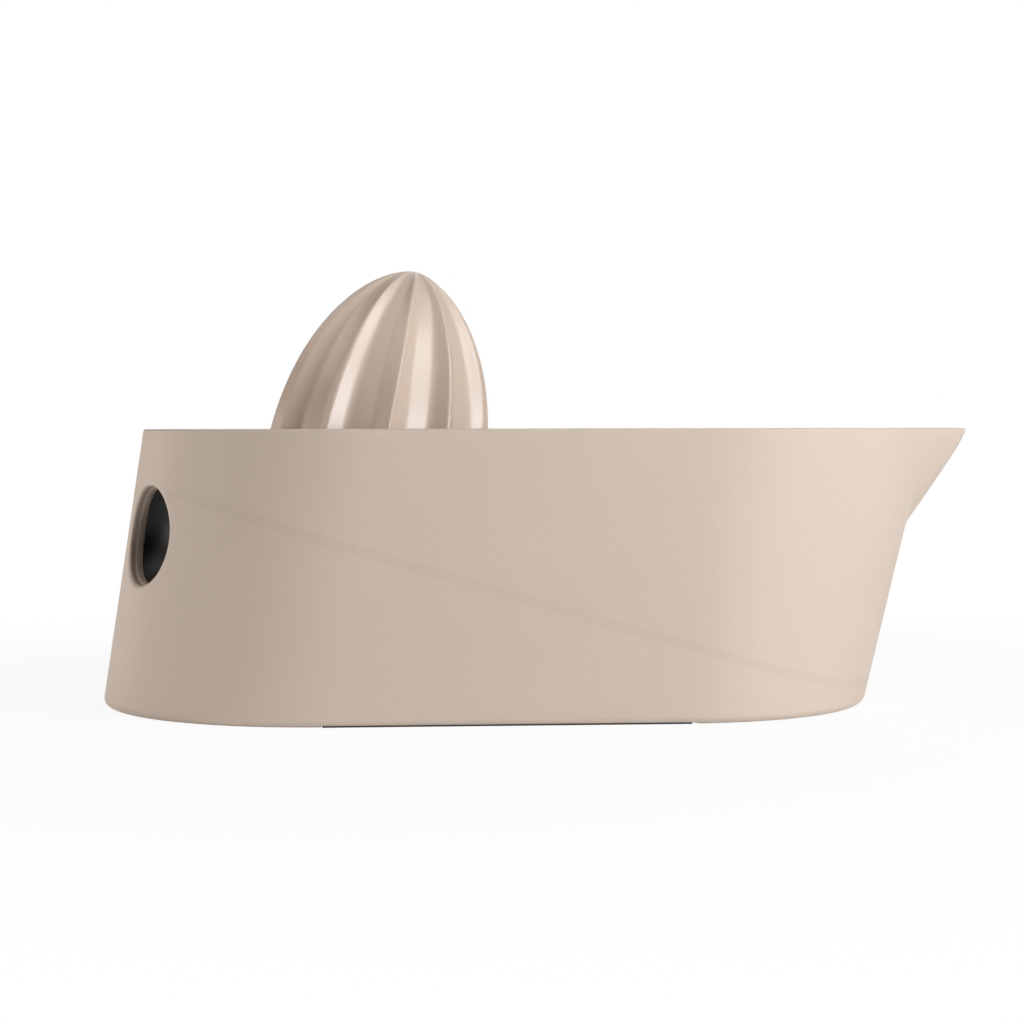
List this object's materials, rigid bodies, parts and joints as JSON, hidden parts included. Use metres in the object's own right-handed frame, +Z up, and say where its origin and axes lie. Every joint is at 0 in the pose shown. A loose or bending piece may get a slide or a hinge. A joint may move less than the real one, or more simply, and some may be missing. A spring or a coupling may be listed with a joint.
{
  "type": "citrus juicer",
  "caption": "Hand citrus juicer: boat-like jug with a pointed spout, a tilted fluted reamer on a lift-out strainer tray, and soft finger ports at the rear.",
  "frame": {"origin": "middle of the whole length and width, on the table under the base", "axes": "+X towards the spout's tip, +Z up"},
  "size_m": [0.222, 0.1132, 0.1105],
  "materials": {
    "jug_plastic": "matte",
    "tray_plastic": "satin",
    "reamer_plastic": "satin",
    "cup_rubber": "matte",
    "pad_rubber": "matte",
    "cover_plastic": "matte"
  },
  "bodies": {
    "jug": {"jug_body": "jug_plastic", "base_cover": "cover_plastic", "base_pad": "pad_rubber", "port_cup_left": "cup_rubber", "port_cup_right": "cup_rubber"},
    "tray": {"strainer_tray": "tray_plastic"},
    "reamer": {"reamer": "reamer_plastic"}
  },
  "joints": [
    {"name": "tray_lift", "type": "slide", "parent": "jug", "child": "tray", "axis": [0.2028, 0, 0.9792], "range_m": [0, 0.045]},
    {"name": "reamer_lift", "type": "slide", "parent": "tray", "child": "reamer", "axis": [0.2028, 0, 0.9792], "range_m": [0, 0.035]}
  ]
}
